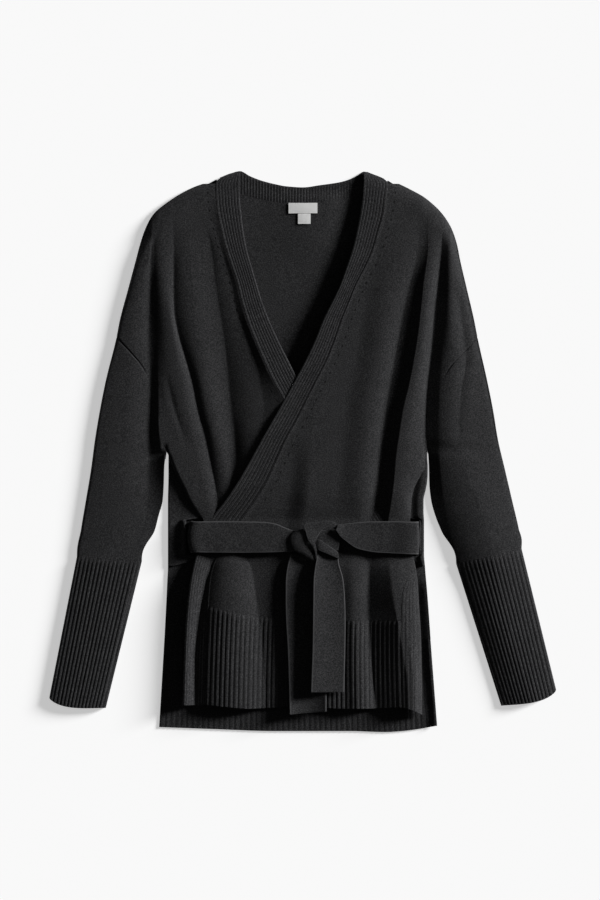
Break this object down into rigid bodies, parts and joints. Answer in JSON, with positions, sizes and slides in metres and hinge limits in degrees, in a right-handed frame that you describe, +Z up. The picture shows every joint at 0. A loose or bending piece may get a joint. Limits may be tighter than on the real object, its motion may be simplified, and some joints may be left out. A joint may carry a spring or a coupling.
{
  "type": "wrap cardigan",
  "caption": "Dark fine-knit wrap cardigan laid flat: crossed fronts, ribbed bands, cuffs and hems, side slits and its own belt tied in front.",
  "frame": {"origin": "on the table plane, under the middle of the garment's bounding box", "axes": "+X to the viewer's right of the laid garment, +Y from hem to neck, +Z up from the table"},
  "size_m": [0.6584, 0.7274, 0.0228],
  "materials": {
    "knit": "matte",
    "label": "matte"
  },
  "bodies": {
    "root": {"front_under": "knit", "front_under_hem": "knit", "band_under": "knit", "front_over": "knit", "front_over_hem": "knit", "band_over": "knit", "slit_band_over": "knit", "back": "knit", "back_hem": "knit", "band_back_left": "knit", "band_back_right": "knit", "sleeve_left": "knit", "cuff_left": "knit", "sleeve_right": "knit", "cuff_right": "knit", "belt_left": "knit", "belt_right": "knit", "belt_back": "knit", "knot_core": "knit", "knot_wrap": "knit", "knot_fold": "knit", "knot_band": "knit", "belt_tail_left": "knit", "belt_tail_right": "knit", "neck_label": "label", "size_tag": "label"}
  },
  "joints": []
}
